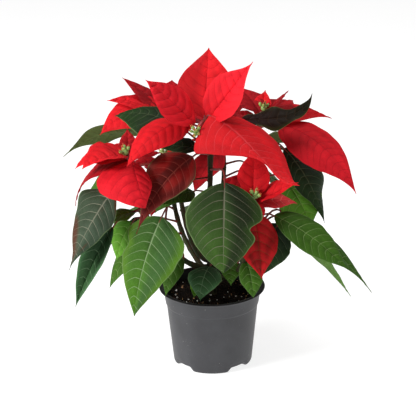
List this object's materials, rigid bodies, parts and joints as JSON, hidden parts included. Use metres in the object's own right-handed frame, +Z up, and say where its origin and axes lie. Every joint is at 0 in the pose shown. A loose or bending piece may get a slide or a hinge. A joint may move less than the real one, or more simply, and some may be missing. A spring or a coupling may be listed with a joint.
{
  "type": "potted poinsettia",
  "caption": "Potted poinsettia: a bushy pinched plant with red bracts round small yellow-green flowers over dark green leaves, in a tapered grey nursery pot filled with soil.",
  "frame": {"origin": "middle of the flat floor under the pot, where it stands", "axes": "+Z up along the pot's axis, -Y towards the plant's front, +X to the right as seen from the front"},
  "size_m": [0.3252, 0.2757, 0.3482],
  "materials": {
    "pot_grey_plastic": "satin",
    "potting_soil": "rough",
    "stem_green": "matte",
    "leaf_green": "satin",
    "bract_red": "satin",
    "cyathia_yellow_green": "satin"
  },
  "bodies": {
    "root": {"pot": "pot_grey_plastic", "soil": "potting_soil", "main_stem": "stem_green", "leafy_stem_a": "leaf_green", "leafy_stem_b": "leaf_green", "leafy_stem_c": "leaf_green", "leafy_stem_d": "leaf_green", "leafy_stem_e": "leaf_green", "leafy_stem_f": "leaf_green", "leafy_stem_g": "leaf_green", "bracts_a": "bract_red", "bracts_b": "bract_red", "bracts_c": "bract_red", "bracts_d": "bract_red", "bracts_e": "bract_red", "bracts_f": "bract_red", "bracts_g": "bract_red", "cyathia_a": "cyathia_yellow_green", "cyathia_b": "cyathia_yellow_green", "cyathia_c": "cyathia_yellow_green", "cyathia_d": "cyathia_yellow_green", "cyathia_e": "cyathia_yellow_green", "cyathia_f": "cyathia_yellow_green", "cyathia_g": "cyathia_yellow_green"}
  },
  "joints": []
}
